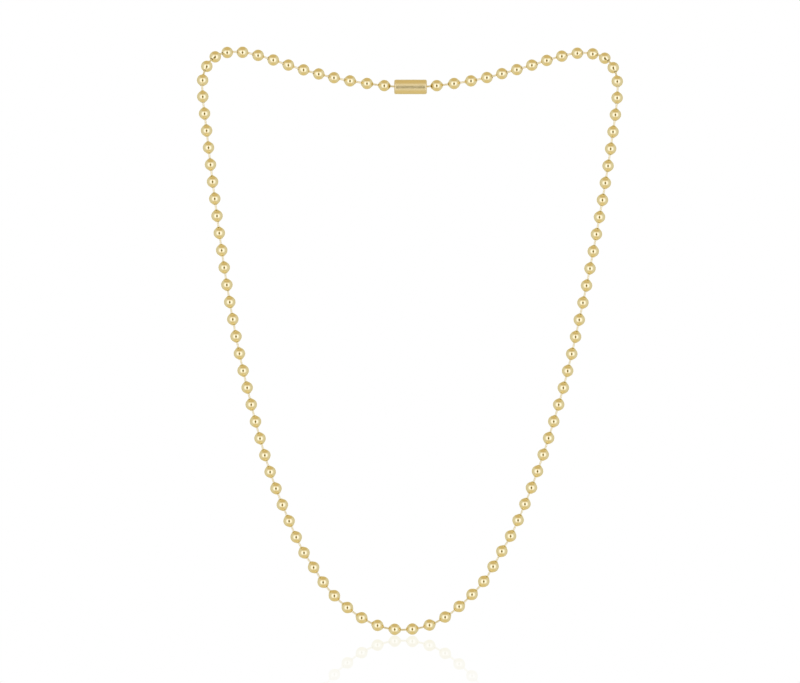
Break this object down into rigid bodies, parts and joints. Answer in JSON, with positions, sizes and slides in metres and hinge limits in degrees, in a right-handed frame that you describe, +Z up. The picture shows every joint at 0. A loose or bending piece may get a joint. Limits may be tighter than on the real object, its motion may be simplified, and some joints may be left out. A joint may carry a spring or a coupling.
{
  "type": "ball chain necklace",
  "caption": "Long closed ball chain necklace in polished gold: hollow round beads joined by short headed pins, hanging in a deep U as worn.",
  "frame": {"origin": "where the clasp rests on the nape: the middle of the clasp's inner side, at the back of the loop", "axes": "+Z up, -Y forward to the wearer's chest, +X to the right as seen from the front"},
  "size_m": [0.1454, 0.0687, 0.2005],
  "materials": {
    "bead_gold": "polished gold plate, rolled hollow balls",
    "pin_gold": "polished gold plated wire",
    "clasp_gold": "polished gold plated sheet"
  },
  "bodies": {
    "root": {"left_beads": "bead_gold", "right_beads": "bead_gold", "left_pins": "pin_gold", "right_pins": "pin_gold", "connector_clasp": "clasp_gold"}
  },
  "joints": []
}
